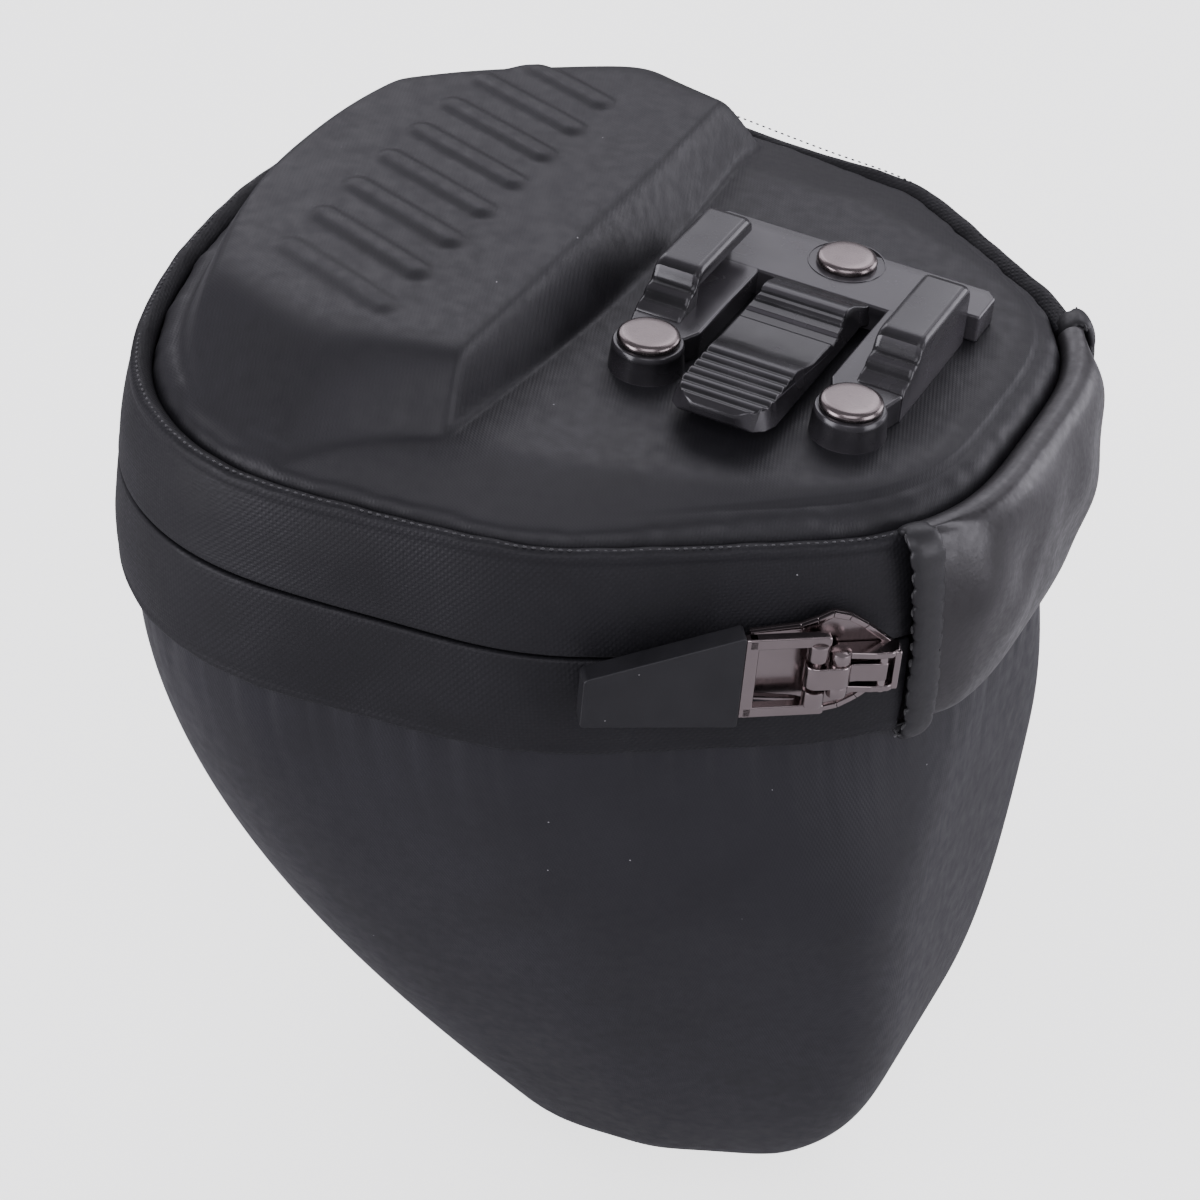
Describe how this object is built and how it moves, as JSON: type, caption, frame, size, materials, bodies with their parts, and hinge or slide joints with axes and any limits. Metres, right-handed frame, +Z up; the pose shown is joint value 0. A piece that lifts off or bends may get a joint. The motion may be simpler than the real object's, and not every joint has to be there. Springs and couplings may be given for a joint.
{
  "type": "hard-shell saddle bag",
  "caption": "Hard-shell saddle bag with a deep tapered body, zip band, soft hinge panel and a slide-in quick-release buckle riveted on its moulded lid.",
  "frame": {"origin": "top of the buckle plate, midway between its two guides: the floor of the slot that the saddle bracket slides into", "axes": "+X forward to the hinge panel, +Y across, the way the bracket leaves the slot, +Z up"},
  "size_m": [0.1325, 0.1378, 0.1562],
  "materials": {
    "moulded_skin": "matt coated skin on moulded foam",
    "lining_fabric": "brushed polyester lining",
    "zip_tape": "coated twill tape",
    "zip_coil": "nylon coil",
    "soft_hide": "soft satin imitation leather",
    "buckle_plastic": "glossy moulded nylon",
    "pull_rubber": "matt rubber",
    "rivet_metal": "satin nickel",
    "backing_metal": "plain sheet",
    "zip_metal": "polished gunmetal nickel"
  },
  "bodies": {
    "lid": {"lid_shell": "moulded_skin", "lid_lining": "lining_fabric", "upper_zip_tape": "zip_tape", "upper_zip_coil": "zip_coil", "upper_zip_stop": "zip_metal", "hinge_panel_upper": "soft_hide", "near_binding_upper": "soft_hide", "far_binding_upper": "soft_hide", "backing_plate": "backing_metal", "buckle_base": "buckle_plastic", "back_arm_rivet": "rivet_metal", "front_arm_rivet": "rivet_metal", "plate_rivet": "rivet_metal", "rivet_washers": "rivet_metal"},
    "shell": {"lower_shell": "moulded_skin", "lower_lining": "lining_fabric", "lower_zip_tape": "zip_tape", "lower_zip_coil": "zip_coil", "lower_zip_stop": "zip_metal", "hinge_panel_lower": "soft_hide", "near_binding_lower": "soft_hide", "far_binding_lower": "soft_hide"},
    "tongue": {"release_tongue": "buckle_plastic"},
    "slider": {"slider_body": "zip_metal", "slider_bridge": "zip_metal", "slider_lock_pawl": "zip_metal", "link_pin": "zip_metal"},
    "link": {"pull_link": "zip_metal", "pull_pin": "zip_metal"},
    "pull": {"pull_frame": "zip_metal", "pull_tab": "pull_rubber"}
  },
  "joints": [
    {"name": "shell_opening", "type": "hinge", "parent": "lid", "child": "shell", "pos_m": [0.0416, 0, -0.0245], "axis": [0, -1, 0], "range_deg": [0, 75]},
    {"name": "tongue_press", "type": "hinge", "parent": "lid", "child": "tongue", "pos_m": [0, 0.0085, -0.0021], "axis": [1, 0, 0], "range_deg": [0, 3.4], "stiffness_Nm_per_rad": 4},
    {"name": "slider_travel", "type": "slide", "parent": "lid", "child": "slider", "axis": [-0.8117, -0.5841, 0], "range_m": [0, 0.02]},
    {"name": "link_swing", "type": "hinge", "parent": "slider", "child": "link", "pos_m": [0.03146, -0.03944, -0.0234], "axis": [0, 0, 1], "range_deg": [0, 75]},
    {"name": "pull_swing", "type": "hinge", "parent": "link", "child": "pull", "pos_m": [0.02428, -0.04486, -0.0234], "axis": [0, 0, 1], "range_deg": [0, 110]}
  ]
}
